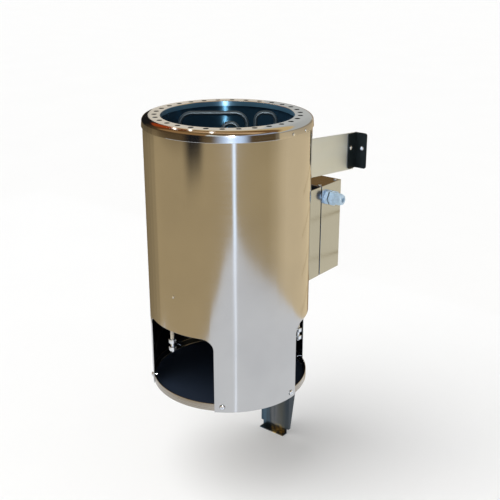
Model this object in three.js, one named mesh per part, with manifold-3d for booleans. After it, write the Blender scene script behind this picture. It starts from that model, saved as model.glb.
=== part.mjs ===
import * as THREE from "three";
import { mergeVertices } from "three/addons/utils/BufferGeometryUtils.js";
import Module from "manifold-3d";

const wasm = await Module();
wasm.setup();

// Lengths are in millimetres and angles in degrees. The heater's own axis is upright, its front faces -Y
// and the wall is on the +Y side. A heading is counted round the axis from the front towards +X.

// General
const CLEARANCE = 0.3;
const ROUND_STEPS = 48;
const HOLE_STEPS = 12;
const CUT_MARGIN = 5;

// Outer mantle and its air windows
const MANTLE_RADIUS = 160;
const MANTLE_SHEET = 1.5;
const MANTLE_HEIGHT = 539;
const FLOOR_GAP = 215;
const FRONT_WINDOW = { start: -36, end: 29 };
const RIGHT_WINDOW = { start: 94, end: 143 };
const WINDOW_HEIGHT = 153;
const WINDOW_CORNER = 22;

// Top ring
const RING_SHEET = 1.8;
const SKIRT_HEIGHT = 11;
const SHOULDER_HEIGHT = 9;
const SHOULDER_WIDTH = 14;
const ANNULUS_WIDTH = 22;
const COLLAR_DEPTH = 10;
const COLLAR_EDGE = 1.5;
const SHOULDER_STEPS = 3;
const AIR_HOLE_COUNT = 30;
const AIR_HOLE_RADIUS = 4.6;
const AIR_HOLE_STEPS = 8;
const RING_RIVET_HEADINGS = [86, 100.5];
const RING_RIVET_HEIGHT = 4.5;
const FRONT_RIVET_HEADING = -1;
const FRONT_RIVET_HEIGHT = 227;

// Stone chamber
const COLLAR_GAP = 2;
const LINER_SHEET = 1.5;
const LINER_LEDGE = 10;
const PLATE_RISE = 7;
const PLATE_THICKNESS = 2;
const GRATE_THICKNESS = 4;
const GRATE_GAP = 0.5;
const GRATE_RIM = 12;
const GRATE_SLOT = 8;
const GRATE_PITCH = 18;
const GRATE_SLOTS = 11;
const PLATE_VENT_COUNT = 12;
const PLATE_VENT_RADIUS = 6;
const PLATE_VENT_HEADING = 5;

// Heating elements, set out in planes that face the element heading
const ELEMENT_HEADING = 40;
const ELEMENT_RADIUS = 4;
const ELEMENT_MARGIN = 12;
const ELEMENT_TOP_GAP = 12;
const ELEMENT_TAIL = 30;
const ELEMENT_ROW_DEPTH = 64;
const ELEMENT_ROW_GAP = 16;
const ELEMENT_BEND = 24;
const SIDE_ELEMENT_WIDTH = 40;
const SIDE_ELEMENT_BEND = 16;
const FRONT_ELEMENT_WIDTH = 28;
const FRONT_ELEMENT_DEPTH = -32;
const FRONT_ELEMENT_OFFSET = 5;
const FRONT_ELEMENT_BEND = 13;
const ELEMENT_HALF_SIDES = 5;
const BEND_STEPS = 6;
const ELEMENT_NUT_WALL = 2.8;
const ELEMENT_NUT_HEIGHT = 6;

// Terminal posts between the liner and the mantle
const POST_HEADINGS = [230, -10, 110];
const POST_RADIUS = 2;
const POST_HEAD_RADIUS = 6.5;
const POST_HEAD_HEIGHT = 4;
const POST_TAIL = 4;
const INSULATOR_RADIUS = 3.6;
const INSULATOR_LENGTH = 33;
const POST_NUT_RADIUS = 7.5;
const POST_NUT_HEIGHT = 8;
const POST_NUT_WAIST_RADIUS = 3.4;
const POST_NUT_WAIST = 8;

// Bottom pan
const PAN_SHEET = 1.5;
const PAN_BAND = 16;
const PAN_SETBACK = 1;
const PAN_BEND = 2;
const PAN_SCREW_HEIGHT = 12;
const PAN_SCREW_MARGIN = 5.5;
const REAR_PAN_SCREWS = [205.5, 265];

// Support leg
const LEG_WIDTH = 78;
const LEG_SHEET = 2;
const LEG_OVERLAP = 60;
const LEG_TOP_CORNER = 8;
const LEG_FLANGE_TOP = 28;
const LEG_FLANGE_FOOT = 5;
const LEG_TAPER_HEIGHT = 130;
const LEG_NOTCH_HEIGHT = 12;
const FOOT_WIDTH = 66;
const FOOT_REACH = 14;
const LEG_SCREW_HEIGHTS = [12, 44];

// Upper bracket and wall angles
const WALL_GAP = 170;
const BRACKET_HALF_WIDTH = 80;
const BRACKET_SHEET = 2;
const BRACKET_BOTTOM = 401;
const BRACKET_HEIGHT = 80;
const BRACKET_DROP = 15;
const BRACKET_END_GAP = 2;
const BRACKET_SCREW_MARGIN = 24;
const ANGLE_SHEET = 2.5;
const ANGLE_LEG = 29;
const ANGLE_HEIGHT = 77;
const ANGLE_BOTTOM = 389.5;
const ANGLE_CORNER = 6;
const ANGLE_CUT = 9;
const ANGLE_SCREW_REACH = 22;
const ANGLE_SCREW_HEIGHT = 436;
const WALL_SCREW_OFFSET = 18.5;
const WALL_SCREW_HEIGHT = 433.5;

// Junction box
const BOX_HALF_WIDTH = 80;
const BOX_SHEET = 1.5;
const BOX_BOTTOM = 175.5;
const BOX_HEIGHT = 197;
const BOX_MOUNT_DEPTH = 43;
const BOX_MOUNT_FLANGE = 20;
const BOX_MOUNT_SCREW_MARGIN = 40;
const COVER_GAP = 4;
const COVER_DEPTH = 72;
const COVER_SCREW_INSET = 9;
const COVER_SCREW_FRONT = 4.5;
const COVER_SCREW_REAR = 10;
const BASE_FLANGE_GAP = 3;
const BLOCK_WIDTH = 90;
const BLOCK_HEIGHT = 24;
const BLOCK_DEPTH = 22;
const BLOCK_LEDGE = 7;
const BLOCK_RISE = 90;
const BLOCK_HOLE_COUNT = 5;
const BLOCK_HOLE_RADIUS = 3;

// Cable gland
const GLAND_FRONT = 20;
const GLAND_DROP = 26.5;
const GLAND_THREAD_RADIUS = 10;
const GLAND_HEX_RADIUS = 15.5;
const GLAND_HEX_LENGTH = 9.5;
const GLAND_SPIGOT = 11;
const GLAND_NECK = 12;
const GLAND_BORE = 6.5;
const SEAL_BORE = 4;
const SEAL_WALL = 4;
const SEAL_LENGTH = 14;
const SEAL_PROUD = 2;
const LOCKNUT_RADIUS = 14;
const LOCKNUT_THICKNESS = 5;
const DOME_NUT_HEX = 12;
const DOME_NUT_LENGTH = 29;
const DOME_NUT_GAP = 1;
const DOME_RADIUS = 12.6;
const DOME_END_RADIUS = 8.5;
const DOME_HOLE = 5.5;
const GLAND_STEPS = 20;

// Fasteners
const PAN_HEAD = { head: 4.6, rise: 2.8, shank: 1.9, length: 9 };
const COVER_SCREW = { head: 3.6, rise: 2.2, shank: 1.8, length: 7 };
const ARM_SCREW = { head: 4.6, rise: 3, shank: 2.5, length: 10 };
const WALL_SCREW = { head: 4.6, rise: 2.6, shank: 2.3, length: 2.3 };
const RIVET = { head: 2.8, rise: 0.7, shank: 1.6, length: 5.5 };
const SCREW_STEPS = 8;
const SEAT_GAP = 0.2;

// Levels and radii that follow from the sizes above
const mantleInner = MANTLE_RADIUS - MANTLE_SHEET;
const mantleBottom = FLOOR_GAP;
const mantleTop = mantleBottom + MANTLE_HEIGHT;
const skirtInner = MANTLE_RADIUS + CLEARANCE;
const skirtOuter = skirtInner + RING_SHEET;
const skirtBottom = mantleTop - SKIRT_HEIGHT;
const ringTop = mantleTop + SHOULDER_HEIGHT;
const annulusOuter = skirtOuter - SHOULDER_WIDTH;
const openingRadius = annulusOuter - ANNULUS_WIDTH;
const linerInner = openingRadius + RING_SHEET + COLLAR_GAP;
const linerOuter = linerInner + LINER_SHEET;
const airGapMiddle = (linerOuter + mantleInner) / 2;
const plateBottom = mantleBottom + WINDOW_HEIGHT + PLATE_RISE;
const plateTop = plateBottom + PLATE_THICKNESS;
const linerBottom = plateTop + CLEARANCE;
const grateBottom = linerBottom + LINER_SHEET + SEAT_GAP;
const rearFace = MANTLE_RADIUS + CLEARANCE;
const wallFace = MANTLE_RADIUS + WALL_GAP;
const boxBottom = mantleBottom + BOX_BOTTOM;
const boxTop = boxBottom + BOX_HEIGHT;
const mountRear = rearFace + BOX_MOUNT_DEPTH;
const coverFront = mountRear + COVER_GAP;
const coverRear = coverFront + COVER_DEPTH;
const originShift = (skirtOuter - wallFace) / 2;

// Materials
const stainless = steel("stainless", 0xc9c4b6, 0.25);
const darkSteel = steel("dark_steel", 0x2c313d, 0.35);
const legSteel = steel("leg_steel", 0x3c4044, 0.45);
const elementSteel = steel("element_steel", 0x55555a, 0.4);
const zinc = steel("zinc", 0xcfcfca, 0.3);
const blackPaint = coat("black_paint", 0x141414, 0.5);
const ceramic = coat("ceramic", 0xe6dfcf, 0.4);
const polyamide = coat("polyamide", 0xc3cad3, 0.45);
const rubber = coat("rubber", 0x181818, 0.8);
const blockPlastic = coat("block_plastic", 0xe9e2d0, 0.5);

function steel(name, color, roughness) {
  return new THREE.MeshStandardMaterial({ name, color, metalness: 1, roughness });
}

function coat(name, color, roughness) {
  return new THREE.MeshStandardMaterial({ name, color, metalness: 0, roughness });
}

function radians(degrees) {
  return THREE.MathUtils.degToRad(degrees);
}

function outward(heading) {
  return new THREE.Vector3(Math.sin(radians(heading)), -Math.cos(radians(heading)), 0);
}

function around(heading, radius, height) {
  return outward(heading).multiplyScalar(radius).setZ(height);
}

// A closed geometry as a solid that can be joined and cut.
function solid(geometry) {
  const bare = new THREE.BufferGeometry();
  bare.setAttribute("position", geometry.getAttribute("position"));
  bare.setIndex(geometry.getIndex());
  const merged = mergeVertices(bare, 1e-4);
  const vertProperties = new Float32Array(merged.getAttribute("position").array);
  const triVerts = new Uint32Array(merged.getIndex().array);
  return new wasm.Manifold(new wasm.Mesh({ numProp: 3, vertProperties, triVerts }));
}

function join(...geometries) {
  return wasm.Manifold.union(geometries.map(solid));
}

function cut(body, cutters) {
  return wasm.Manifold.difference([body, ...cutters.map(solid)]);
}

function piece(name, material, body) {
  const mesh = body.getMesh();
  const geometry = new THREE.BufferGeometry();
  geometry.setAttribute("position", new THREE.BufferAttribute(mesh.vertProperties, mesh.numProp));
  geometry.setIndex(new THREE.BufferAttribute(mesh.triVerts, 1));
  geometry.computeVertexNormals();
  const result = new THREE.Mesh(geometry, material);
  result.name = name;
  return result;
}

// A profile of [radius, height] pairs, outer side upwards, turned round the upright axis.
function turned(profile, steps = ROUND_STEPS) {
  const points = profile.map(([radius, height]) => new THREE.Vector2(radius, height));
  return new THREE.LatheGeometry(points, steps).rotateX(Math.PI / 2);
}

function turnedRing(profile, steps = ROUND_STEPS) {
  return turned([...profile, profile[0]], steps);
}

function tubeProfile(inner, outer, bottom, top) {
  return [[outer, bottom], [outer, top], [inner, top], [inner, bottom]];
}

function rodProfile(radius, bottom, top) {
  return [[0, bottom], [radius, bottom], [radius, top], [0, top]];
}

function box(x0, x1, y0, y1, z0, z1) {
  const geometry = new THREE.BoxGeometry(x1 - x0, y1 - y0, z1 - z0);
  return geometry.translate((x0 + x1) / 2, (y0 + y1) / 2, (z0 + z1) / 2);
}

// An outline of [across, up, corner radius] points; a radius left out means a sharp corner.
function outline(corners) {
  const shape = new THREE.Shape();
  corners.forEach(([across, up, radius = 0], index) => {
    const corner = new THREE.Vector2(across, up);
    const before = new THREE.Vector2(...corners.at(index - 1).slice(0, 2));
    const after = new THREE.Vector2(...corners[(index + 1) % corners.length].slice(0, 2));
    const start = corner.clone().add(before.sub(corner).setLength(radius));
    const end = corner.clone().add(after.sub(corner).setLength(radius));
    if (index === 0) {
      shape.moveTo(start.x, start.y);
    } else {
      shape.lineTo(start.x, start.y);
    }
    if (radius > 0) {
      shape.quadraticCurveTo(corner.x, corner.y, end.x, end.y);
    }
  });
  return shape;
}

function extruded(corners, depth) {
  return new THREE.ExtrudeGeometry(outline(corners), { depth, bevelEnabled: false, curveSegments: 6 });
}

// A sheet whose outline is seen from the front, between two Y values.
function frontSheet(corners, y0, y1) {
  return extruded(corners, y1 - y0).rotateX(Math.PI / 2).translate(0, y1, 0);
}

// A sheet whose outline of [y, z] points is seen from the side, between two X values.
function sideSheet(corners, x0, x1) {
  const turn = new THREE.Matrix4().set(0, 0, 1, x0, 1, 0, 0, 0, 0, 1, 0, 0, 0, 0, 0, 1);
  return extruded(corners, x1 - x0).applyMatrix4(turn);
}

// A geometry made along +Z, turned so that +Z points along a direction, then moved to a point.
function aim(geometry, direction, point) {
  const turn = new THREE.Quaternion().setFromUnitVectors(new THREE.Vector3(0, 0, 1), direction);
  return geometry.applyQuaternion(turn).translate(point.x, point.y, point.z);
}

function drill(radius, point, direction, reach, steps = HOLE_STEPS) {
  return aim(turned(rodProfile(radius, -reach, reach), steps), direction, point);
}

function fastenerHole(size, point, direction) {
  return drill(size.shank + CLEARANCE, point, direction, size.length + CUT_MARGIN);
}

// A domed fastener whose head rests on a point of a surface and looks along a direction.
function fastener(name, size, point, direction) {
  const profile = [
    [0, -size.length],
    [size.shank, -size.length],
    [size.shank, 0],
    [size.head, 0],
    [size.head, size.rise * 0.4],
    [size.head * 0.75, size.rise * 0.85],
    [0, size.rise],
  ];
  const seat = point.clone().addScaledVector(direction, SEAT_GAP);
  return piece(name, zinc, solid(aim(turned(profile, SCREW_STEPS), direction, seat)));
}

// A path through given points with one cross-section at each of them.
class PointPath extends THREE.Curve {
  constructor(points) {
    super();
    this.points = points;
  }

  getPoint(share) {
    const place = share * (this.points.length - 1);
    const index = Math.min(Math.floor(place), this.points.length - 2);
    return this.points[index].clone().lerp(this.points[index + 1], place - index);
  }

  getPointAt(share) {
    return this.getPoint(share);
  }

  getTangentAt(share) {
    return this.getTangent(share);
  }
}

function rodAlong(points, radius) {
  const section = new THREE.Shape().absarc(0, 0, radius, 0, 2 * Math.PI);
  const extrudePath = new PointPath(points);
  const options = { steps: points.length - 1, curveSegments: ELEMENT_HALF_SIDES, extrudePath };
  return new THREE.ExtrudeGeometry(section, options);
}

function hexagon(radius, bottom, top) {
  return turned(rodProfile(radius, bottom, top), 6);
}

function bored(body, bore, bottom, top, steps = HOLE_STEPS) {
  return cut(body, [turned(rodProfile(bore, bottom - CUT_MARGIN, top + CUT_MARGIN), steps)]);
}

// Fastener places
const panScrewPlaces = [
  RIGHT_WINDOW.end + PAN_SCREW_MARGIN,
  ...REAR_PAN_SCREWS,
  FRONT_WINDOW.start - PAN_SCREW_MARGIN,
  FRONT_WINDOW.end + PAN_SCREW_MARGIN,
  RIGHT_WINDOW.start - PAN_SCREW_MARGIN,
];
const ringRivetLevel = skirtBottom + RING_RIVET_HEIGHT;
const frontRivetPoint = around(FRONT_RIVET_HEADING, MANTLE_RADIUS, mantleBottom + FRONT_RIVET_HEIGHT);
const backward = new THREE.Vector3(0, 1, 0);
const upward = new THREE.Vector3(0, 0, 1);
const legScrewLevels = LEG_SCREW_HEIGHTS.map((height) => mantleBottom + height);
const bracketBottom = mantleBottom + BRACKET_BOTTOM;
const bracketTop = bracketBottom + BRACKET_HEIGHT;
const bracketScrewLevels = [bracketBottom + BRACKET_SCREW_MARGIN, bracketTop - BRACKET_SCREW_MARGIN];
const mountScrewLevels = [boxBottom + BOX_MOUNT_SCREW_MARGIN, boxTop - BOX_MOUNT_SCREW_MARGIN];

function rearHole(level) {
  return fastenerHole(PAN_HEAD, new THREE.Vector3(0, rearFace, level), backward);
}

function windowCutter({ start, end }) {
  const heading = (start + end) / 2;
  const half = MANTLE_RADIUS * Math.sin(radians((end - start) / 2));
  const top = mantleBottom + WINDOW_HEIGHT;
  const corners = [
    [-half, mantleBottom - CUT_MARGIN],
    [half, mantleBottom - CUT_MARGIN],
    [half, top, WINDOW_CORNER],
    [-half, top, WINDOW_CORNER],
  ];
  return frontSheet(corners, -MANTLE_RADIUS - CUT_MARGIN, -MANTLE_RADIUS / 2).rotateZ(radians(heading));
}

function panScrewHole(heading) {
  const level = mantleBottom + PAN_SCREW_HEIGHT;
  return fastenerHole(PAN_HEAD, around(heading, MANTLE_RADIUS, level), outward(heading));
}

function ringRivetHole(heading) {
  return fastenerHole(RIVET, around(heading, skirtOuter, ringRivetLevel), outward(heading));
}

function outerMantle() {
  const shell = solid(turnedRing(tubeProfile(mantleInner, MANTLE_RADIUS, mantleBottom, mantleTop)));
  const cutters = [
    windowCutter(FRONT_WINDOW),
    windowCutter(RIGHT_WINDOW),
    ...panScrewPlaces.map(panScrewHole),
    ...RING_RIVET_HEADINGS.map(ringRivetHole),
    ...[...legScrewLevels, ...bracketScrewLevels, ...mountScrewLevels].map(rearHole),
    fastenerHole(RIVET, frontRivetPoint, outward(FRONT_RIVET_HEADING)),
  ];
  return piece("outer_mantle", stainless, cut(shell, cutters));
}

function shoulderArc(radius, across, base, rise) {
  return Array.from({ length: SHOULDER_STEPS }, (_, index) => {
    const angle = ((index + 1) / (SHOULDER_STEPS + 1)) * (Math.PI / 2);
    return [radius + across * Math.cos(angle), base + rise * Math.sin(angle)];
  });
}

function topRing() {
  const underTop = ringTop - RING_SHEET;
  const collarOuter = openingRadius + RING_SHEET;
  const collarBottom = ringTop - COLLAR_DEPTH;
  const outerArc = shoulderArc(annulusOuter, SHOULDER_WIDTH, mantleTop, SHOULDER_HEIGHT);
  const innerArc = shoulderArc(
    annulusOuter,
    SHOULDER_WIDTH - RING_SHEET,
    mantleTop,
    SHOULDER_HEIGHT - RING_SHEET,
  );
  const profile = [
    [skirtOuter, skirtBottom],
    [skirtOuter, mantleTop],
    ...outerArc,
    [annulusOuter, ringTop],
    [openingRadius + COLLAR_EDGE, ringTop],
    [openingRadius, ringTop - COLLAR_EDGE],
    [openingRadius, collarBottom],
    [collarOuter, collarBottom],
    [collarOuter, underTop],
    [annulusOuter, underTop],
    ...innerArc.reverse(),
    [skirtInner, mantleTop],
    [skirtInner, skirtBottom],
  ];
  const holeCircle = openingRadius + ANNULUS_WIDTH / 2;
  const airHoles = Array.from({ length: AIR_HOLE_COUNT }, (_, index) => {
    const place = around((index * 360) / AIR_HOLE_COUNT, holeCircle, ringTop);
    return drill(AIR_HOLE_RADIUS, place, upward, CUT_MARGIN, AIR_HOLE_STEPS);
  });
  const cutters = [...airHoles, ...RING_RIVET_HEADINGS.map(ringRivetHole)];
  return piece("top_ring", stainless, cut(solid(turnedRing(profile)), cutters));
}

// Hairpin places in the element heading's own frame: across, depth away from the front, bend radius.
const legCircle = linerInner - ELEMENT_MARGIN - ELEMENT_RADIUS;
const rowReach = Math.sqrt(legCircle ** 2 - ELEMENT_ROW_DEPTH ** 2);
const sideStart = rowReach - SIDE_ELEMENT_WIDTH;
const frontStart = FRONT_ELEMENT_OFFSET - FRONT_ELEMENT_WIDTH / 2;
const hairpins = [
  { from: -rowReach, to: sideStart - ELEMENT_ROW_GAP, depth: ELEMENT_ROW_DEPTH, bend: ELEMENT_BEND },
  { from: sideStart, to: rowReach, depth: ELEMENT_ROW_DEPTH, bend: SIDE_ELEMENT_BEND },
  {
    from: frontStart,
    to: frontStart + FRONT_ELEMENT_WIDTH,
    depth: FRONT_ELEMENT_DEPTH,
    bend: FRONT_ELEMENT_BEND,
  },
];

function elementPoint(across, depth, height) {
  const side = outward(ELEMENT_HEADING + 90).multiplyScalar(across);
  return side.addScaledVector(outward(ELEMENT_HEADING), -depth).setZ(height);
}

function elementLegs(hairpin) {
  return [hairpin.from, hairpin.to].map((across) => elementPoint(across, hairpin.depth, plateBottom));
}

function elementBend(centre, hairpin, height, start) {
  return Array.from({ length: BEND_STEPS + 1 }, (_, index) => {
    const angle = start - (index / BEND_STEPS) * (Math.PI / 2);
    const across = centre + hairpin.bend * Math.cos(angle);
    return elementPoint(across, hairpin.depth, height + hairpin.bend * Math.sin(angle));
  });
}

function heatingElement(hairpin, index) {
  const bottom = plateBottom - ELEMENT_TAIL;
  const bendLevel = ringTop - ELEMENT_TOP_GAP - hairpin.bend;
  const points = [
    elementPoint(hairpin.from, hairpin.depth, bottom),
    ...elementBend(hairpin.from + hairpin.bend, hairpin, bendLevel, Math.PI),
    ...elementBend(hairpin.to - hairpin.bend, hairpin, bendLevel, Math.PI / 2),
    elementPoint(hairpin.to, hairpin.depth, bottom),
  ];
  const rod = rodAlong(points, ELEMENT_RADIUS);
  return piece(`heating_element_${index + 1}`, elementSteel, solid(rod));
}

function elementNut(leg, index) {
  const top = plateBottom - CLEARANCE;
  const bottom = top - ELEMENT_NUT_HEIGHT;
  const hex = solid(hexagon(ELEMENT_RADIUS + ELEMENT_NUT_WALL, bottom, top));
  const nut = piece(`element_nut_${index + 1}`, zinc, bored(hex, ELEMENT_RADIUS + CLEARANCE, bottom, top));
  nut.geometry.translate(leg.x, leg.y, 0);
  return nut;
}

const elementLegPoints = hairpins.flatMap(elementLegs);
const postPoints = POST_HEADINGS.map((heading) => around(heading, airGapMiddle, plateTop));
function innerLiner() {
  const ledgeTop = linerBottom + LINER_SHEET;
  const linerTop = ringTop - RING_SHEET - CLEARANCE;
  const profile = [
    [linerOuter, linerBottom],
    [linerOuter, linerTop],
    [linerInner, linerTop],
    [linerInner, ledgeTop],
    [linerInner - LINER_LEDGE, ledgeTop],
    [linerInner - LINER_LEDGE, linerBottom],
  ];
  return piece("inner_liner", darkSteel, solid(turnedRing(profile)));
}

function elementPlate() {
  const disc = solid(turned(rodProfile(mantleInner - CLEARANCE, plateBottom, plateTop)));
  const vents = Array.from({ length: PLATE_VENT_COUNT }, (_, index) => {
    const heading = PLATE_VENT_HEADING + (index * 360) / PLATE_VENT_COUNT;
    const place = around(heading, airGapMiddle, plateTop);
    return drill(PLATE_VENT_RADIUS, place, upward, CUT_MARGIN, AIR_HOLE_STEPS);
  });
  const legHole = ELEMENT_RADIUS + CLEARANCE;
  const legHoles = elementLegPoints.map((point) => drill(legHole, point, upward, CUT_MARGIN));
  const postHole = POST_RADIUS + CLEARANCE;
  const postHoles = postPoints.map((point) => drill(postHole, point, upward, CUT_MARGIN));
  return piece("element_plate", darkSteel, cut(disc, [...vents, ...legHoles, ...postHoles]));
}

function stoneGrate() {
  const radius = linerInner - GRATE_GAP;
  const top = grateBottom + GRATE_THICKNESS;
  const slotReach = radius - GRATE_RIM;
  const slots = Array.from({ length: GRATE_SLOTS }, (_, index) => {
    const y = (index - (GRATE_SLOTS - 1) / 2) * GRATE_PITCH;
    const half = Math.sqrt(slotReach ** 2 - y ** 2);
    const z0 = grateBottom - CUT_MARGIN;
    return box(-half, half, y - GRATE_SLOT / 2, y + GRATE_SLOT / 2, z0, top + CUT_MARGIN);
  });
  const legHoles = elementLegPoints.map((leg) => {
    return drill(ELEMENT_RADIUS + CLEARANCE, leg.clone().setZ(top), upward, GRATE_THICKNESS + CUT_MARGIN);
  });
  const disc = solid(turned(rodProfile(radius, grateBottom, top)));
  return piece("stone_grate", darkSteel, cut(disc, [...slots, ...legHoles]));
}

// A terminal post with its insulating sleeve and its double nut.
function terminalPost(point, index) {
  const headBottom = plateTop + SEAT_GAP;
  const headTop = headBottom + POST_HEAD_HEIGHT;
  const sleeveTop = plateBottom - CLEARANCE;
  const sleeveBottom = sleeveTop - INSULATOR_LENGTH;
  const nutTop = sleeveBottom - CLEARANCE;
  const upperEnd = nutTop - POST_NUT_HEIGHT;
  const lowerStart = upperEnd - POST_NUT_WAIST;
  const nutBottom = lowerStart - POST_NUT_HEIGHT;
  const bore = POST_RADIUS + CLEARANCE;
  const post = turned([
    [0, nutBottom - POST_TAIL],
    [POST_RADIUS, nutBottom - POST_TAIL],
    [POST_RADIUS, headBottom],
    [POST_HEAD_RADIUS, headBottom],
    [POST_HEAD_RADIUS, headTop],
    [0, headTop],
  ], HOLE_STEPS);
  const sleeve = turnedRing(tubeProfile(bore, INSULATOR_RADIUS, sleeveBottom, sleeveTop), HOLE_STEPS);
  const nut = join(
    turned(rodProfile(POST_NUT_WAIST_RADIUS, nutBottom, nutTop), HOLE_STEPS),
    hexagon(POST_NUT_RADIUS, upperEnd, nutTop),
    hexagon(POST_NUT_RADIUS, nutBottom, lowerStart),
  );
  const parts = [
    piece(`terminal_post_${index + 1}`, zinc, solid(post)),
    piece(`post_insulator_${index + 1}`, ceramic, solid(sleeve)),
    piece(`post_nut_${index + 1}`, zinc, bored(nut, bore, nutBottom, nutTop)),
  ];
  parts.forEach((part) => part.geometry.translate(point.x, point.y, 0));
  return parts;
}

function bottomPan() {
  const outer = mantleInner - CLEARANCE;
  const inner = outer - PAN_SHEET;
  const bottom = mantleBottom + PAN_SETBACK;
  const top = bottom + PAN_BAND;
  const floor = bottom + PAN_SHEET;
  const dish = turned([
    [0, bottom],
    [outer - PAN_BEND, bottom],
    [outer, bottom + PAN_BEND],
    [outer, top],
    [inner, top],
    [inner, floor + PAN_BEND],
    [inner - PAN_BEND, floor],
    [0, floor],
  ]);
  const holes = [...panScrewPlaces.map(panScrewHole), ...legScrewLevels.map(rearHole)];
  return piece("bottom_pan", stainless, cut(solid(dish), holes));
}

function panScrew(heading, index) {
  const place = around(heading, MANTLE_RADIUS, mantleBottom + PAN_SCREW_HEIGHT);
  return fastener(`pan_screw_${index + 1}`, PAN_HEAD, place, outward(heading));
}

function rearScrew(name, sheet, level) {
  return fastener(name, PAN_HEAD, new THREE.Vector3(0, rearFace + sheet, level), backward);
}

function supportLeg() {
  const half = LEG_WIDTH / 2;
  const footHalf = FOOT_WIDTH / 2;
  const top = mantleBottom + LEG_OVERLAP;
  const webRear = rearFace + LEG_SHEET;
  const web = frontSheet([
    [-footHalf, 0],
    [footHalf, 0],
    [footHalf, LEG_NOTCH_HEIGHT],
    [half, LEG_NOTCH_HEIGHT],
    [half, top, LEG_TOP_CORNER],
    [-half, top, LEG_TOP_CORNER],
    [-half, LEG_NOTCH_HEIGHT],
    [-footHalf, LEG_NOTCH_HEIGHT],
  ], rearFace, webRear);
  const flangeSide = [
    [rearFace, LEG_NOTCH_HEIGHT],
    [webRear + LEG_FLANGE_FOOT, LEG_NOTCH_HEIGHT],
    [webRear + LEG_FLANGE_TOP, LEG_TAPER_HEIGHT],
    [webRear + LEG_FLANGE_TOP, top - LEG_TOP_CORNER],
    [rearFace, top - LEG_TOP_CORNER],
  ];
  const leftFlange = sideSheet(flangeSide, -half, -half + LEG_SHEET);
  const rightFlange = sideSheet(flangeSide, half - LEG_SHEET, half);
  const foot = box(-footHalf, footHalf, rearFace - FOOT_REACH, webRear, 0, LEG_SHEET);
  const body = join(web, leftFlange, rightFlange, foot);
  return piece("support_leg", legSteel, cut(body, legScrewLevels.map(rearHole)));
}

function armScrewPoint(side) {
  const x = side * (BRACKET_HALF_WIDTH + CLEARANCE + ANGLE_SHEET);
  return new THREE.Vector3(x, wallFace - ANGLE_SCREW_REACH, mantleBottom + ANGLE_SCREW_HEIGHT);
}

function wallScrewPoint(side) {
  const x = side * (BRACKET_HALF_WIDTH + WALL_SCREW_OFFSET);
  return new THREE.Vector3(x, wallFace - ANGLE_SHEET, mantleBottom + WALL_SCREW_HEIGHT);
}

function sideways(side) {
  return new THREE.Vector3(side, 0, 0);
}

// The two X values of a sheet on one side, smaller first.
function sideSpan(side, near, far) {
  return side > 0 ? [near, far] : [-far, -near];
}

function upperBracket() {
  const half = BRACKET_HALF_WIDTH;
  const armEnd = wallFace - ANGLE_SHEET - BRACKET_END_GAP;
  const web = box(-half, half, rearFace, rearFace + BRACKET_SHEET, bracketBottom, bracketTop);
  const armSide = [
    [rearFace, bracketBottom],
    [armEnd, bracketBottom - BRACKET_DROP],
    [armEnd, bracketTop - BRACKET_DROP],
    [rearFace, bracketTop],
  ];
  const arms = [-1, 1].map((side) => sideSheet(armSide, ...sideSpan(side, half - BRACKET_SHEET, half)));
  const holes = [-1, 1].map((side) => fastenerHole(ARM_SCREW, armScrewPoint(side), sideways(side)));
  const body = cut(join(web, ...arms), [...holes, ...bracketScrewLevels.map(rearHole)]);
  return piece("upper_bracket", stainless, body);
}

function wallAngle(name, side) {
  const near = BRACKET_HALF_WIDTH + CLEARANCE;
  const far = near + ANGLE_LEG;
  const bottom = mantleBottom + ANGLE_BOTTOM;
  const top = bottom + ANGLE_HEIGHT;
  const sideLeg = sideSheet([
    [wallFace - ANGLE_LEG, bottom, ANGLE_CUT],
    [wallFace, bottom],
    [wallFace, top],
    [wallFace - ANGLE_LEG, top],
  ], ...sideSpan(side, near, near + ANGLE_SHEET));
  const wallLeg = frontSheet([
    [side * near, bottom],
    [side * far, bottom, ANGLE_CORNER],
    [side * far, top, ANGLE_CORNER],
    [side * near, top],
  ], wallFace - ANGLE_SHEET, wallFace);
  const holes = [
    fastenerHole(ARM_SCREW, armScrewPoint(side), sideways(side)),
    fastenerHole(WALL_SCREW, wallScrewPoint(side), backward),
  ];
  return piece(name, blackPaint, cut(join(sideLeg, wallLeg), holes));
}

function boxMount() {
  const half = BOX_HALF_WIDTH;
  const lip = half - BOX_MOUNT_FLANGE;
  const web = box(-half, half, rearFace, rearFace + BOX_SHEET, boxBottom, boxTop);
  const sides = [-1, 1].flatMap((side) => {
    const [x0, x1] = sideSpan(side, half - BOX_SHEET, half);
    const [lip0, lip1] = sideSpan(side, lip, half);
    return [
      box(x0, x1, rearFace, mountRear, boxBottom, boxTop),
      box(lip0, lip1, mountRear - BOX_SHEET, mountRear, boxBottom, boxTop),
    ];
  });
  return piece("box_mount", stainless, cut(join(web, ...sides), mountScrewLevels.map(rearHole)));
}

const coverScrewPoints = [-1, 1].flatMap((side) => {
  const x = side * (BOX_HALF_WIDTH - COVER_SCREW_INSET);
  const places = [coverFront + COVER_SCREW_FRONT, coverRear - COVER_SCREW_REAR];
  return places.map((y) => new THREE.Vector3(x, y, boxTop));
});
const glandPoint = new THREE.Vector3(BOX_HALF_WIDTH, coverFront + GLAND_FRONT, boxTop - GLAND_DROP);

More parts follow.
